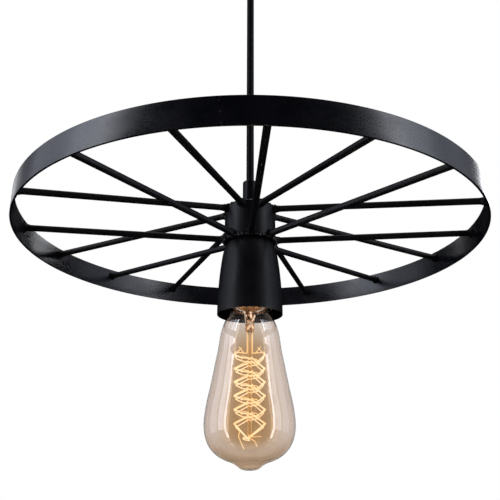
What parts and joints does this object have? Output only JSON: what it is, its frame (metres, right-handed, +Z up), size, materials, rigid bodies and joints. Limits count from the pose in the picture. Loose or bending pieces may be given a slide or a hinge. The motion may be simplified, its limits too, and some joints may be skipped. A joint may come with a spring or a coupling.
{
  "type": "wagon wheel chandelier",
  "caption": "Pendant ceiling light: a rodded wheel rim round a short hub, hung on a cord from a ceiling canopy, with a bell-shaped socket cup and a filament bulb below.",
  "frame": {"origin": "centre of the bracket's slot pattern, on its ceiling face", "axes": "+Z up into the ceiling, +X along the bracket's slots, the picture looks along +Y from below"},
  "size_m": [0.35, 0.35, 0.4787],
  "materials": {
    "black_paint": "satin black powder coat",
    "black_grip": "satin black",
    "zinc": "bright zinc plating",
    "black_nut": "gloss black",
    "nylon": "natural nylon",
    "phenolic": "black phenolic moulding",
    "porcelain": "glazed",
    "brass": "stamped brass",
    "bulb_brass": "warm rolled brass",
    "solder": "dull tin solder",
    "black_glass": "black fused glass",
    "amber_glass": "clear blown glass with an amber tint",
    "stem_glass": "clear drawn glass",
    "tungsten": "glowing filament",
    "nickel_wire": "bright drawn wire",
    "cord_sheath": "black round sheath",
    "live_core": "brown core insulation",
    "neutral_core": "blue core insulation",
    "block_plastic": "white nylon moulding"
  },
  "bodies": {
    "ceiling": {"ceiling_bracket": "zinc", "canopy_screws": "zinc", "bracket_nuts": "zinc", "canopy": "black_paint", "cap_nuts": "black_nut", "upper_grip": "black_grip", "upper_grip_nut": "zinc", "upper_grip_bush": "nylon", "upper_grip_screw": "zinc", "cord_upper_end": "cord_sheath", "terminal_block": "block_plastic", "block_inserts": "brass", "block_screws": "brass", "canopy_live_wire": "live_core", "canopy_neutral_wire": "neutral_core"},
    "cord_bend": {"cord_bend": "cord_sheath"},
    "cord": {"cord": "cord_sheath"},
    "lamp": {"rim": "black_paint", "hub_tube": "black_paint", "socket_cup": "black_paint", "spoke_01_lower": "black_paint", "spoke_02_upper": "black_paint", "spoke_03_lower": "black_paint", "spoke_04_upper": "black_paint", "spoke_05_lower": "black_paint", "spoke_06_upper": "black_paint", "spoke_07_lower": "black_paint", "spoke_08_upper": "black_paint", "spoke_09_lower": "black_paint", "spoke_10_upper": "black_paint", "spoke_11_lower": "black_paint", "spoke_12_upper": "black_paint", "spoke_13_lower": "black_paint", "spoke_14_upper": "black_paint", "spoke_15_lower": "black_paint", "spoke_16_upper": "black_paint", "lower_grip": "black_grip", "hub_plate": "zinc", "hub_lock_nut": "zinc", "cup_washer": "zinc", "cup_lock_nut": "zinc", "lower_grip_screw": "zinc", "lower_grip_bush": "nylon", "holder_cap": "phenolic", "holder_skirt": "phenolic", "holder_insert": "porcelain", "holder_screws": "brass", "centre_contact": "brass", "screw_shell": "brass", "cord_lower_end": "cord_sheath", "holder_live_wire": "live_core", "holder_neutral_wire": "neutral_core"},
    "bulb_button": {"cap_button": "solder"},
    "bulb": {"cap_insulator": "black_glass", "bulb_cap": "bulb_brass", "bulb_glass": "amber_glass", "glass_stem": "stem_glass", "lead_wires": "nickel_wire", "filament": "tungsten", "filament_supports": "nickel_wire"}
  },
  "joints": [
    {"name": "swing_to_and_fro", "type": "hinge", "parent": "ceiling", "child": "cord_bend", "pos_m": [0, 0, -0.0432], "axis": [1, 0, 0], "range_deg": [-25, 25]},
    {"name": "swing_sideways", "type": "hinge", "parent": "cord_bend", "child": "cord", "pos_m": [0, 0, -0.0432], "axis": [0, 1, 0], "range_deg": [-25, 25]},
    {"name": "cord_twist", "type": "hinge", "parent": "cord", "child": "lamp", "pos_m": [0, 0, -0.2613], "axis": [0, 0, 1], "range_deg": [-90, 90], "stiffness_Nm_per_rad": 0.002},
    {"name": "bulb_travel", "type": "slide", "parent": "lamp", "child": "bulb_button", "axis": [0, 0, -1], "range_m": [0, 0.01643]},
    {"name": "bulb_turn", "type": "hinge", "parent": "bulb_button", "child": "bulb", "pos_m": [0, 0, -0.3387], "axis": [0, 0, -1], "range_deg": [0, 1620]}
  ],
  "couplings": [
    {"joint": "bulb_travel", "follows": "bulb_turn", "m_per_rad": 0.00057757}
  ]
}
